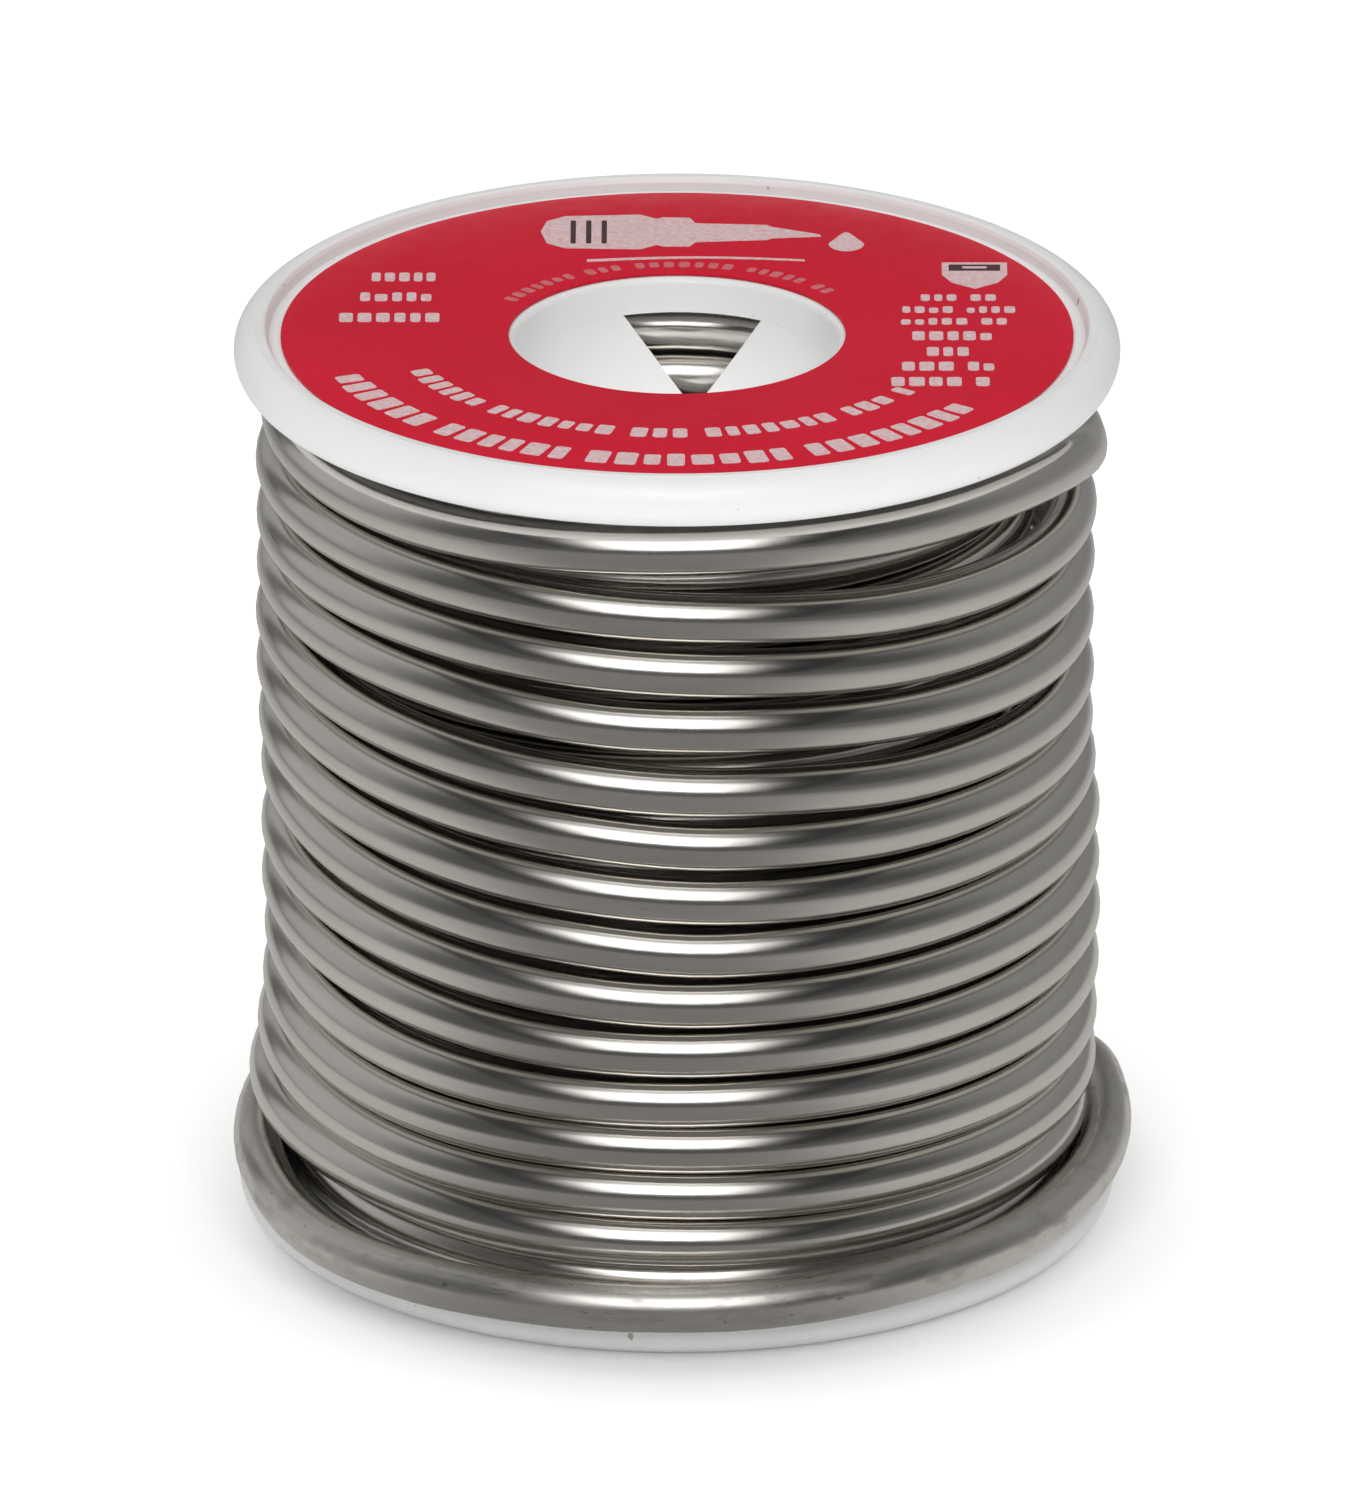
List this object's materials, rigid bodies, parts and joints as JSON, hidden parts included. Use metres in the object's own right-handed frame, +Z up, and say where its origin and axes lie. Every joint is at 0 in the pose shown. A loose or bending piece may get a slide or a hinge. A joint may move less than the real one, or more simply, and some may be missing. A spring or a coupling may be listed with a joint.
{
  "type": "solder wire spool",
  "caption": "Open-bore plastic spool with rounded rims and flat printed labels, holding several layers of thick bright solder wire for paying out by hand or from a spindle.",
  "frame": {"origin": "centre of the circle that the lower rim stands on", "axes": "+Z up along the bore, -Y towards the viewer; the barrel's V notches face about +Y and -Y"},
  "size_m": [0.058, 0.0636, 0.0599],
  "materials": {
    "spool_plastic": "white moulded polystyrene, satin gloss, rounded rims",
    "label_paper": null,
    "solder": "bright drawn solder wire, slightly warm grey, with soft scuffs"
  },
  "bodies": {
    "spool": {"spool_body": "spool_plastic", "upper_flange": "spool_plastic", "top_label": "label_paper", "bottom_label": "label_paper", "wire_inner_layers": "solder", "wire_outer_layer": "solder", "wire_loose_turn": "solder"},
    "free_end": {"wire_free_end": "solder"}
  },
  "joints": [
    {"name": "free_end_lift", "type": "hinge", "parent": "spool", "child": "free_end", "pos_m": [0.02906, 0.00618, 0.0048], "axis": [0, 0, -1], "range_deg": [0, 70]}
  ]
}
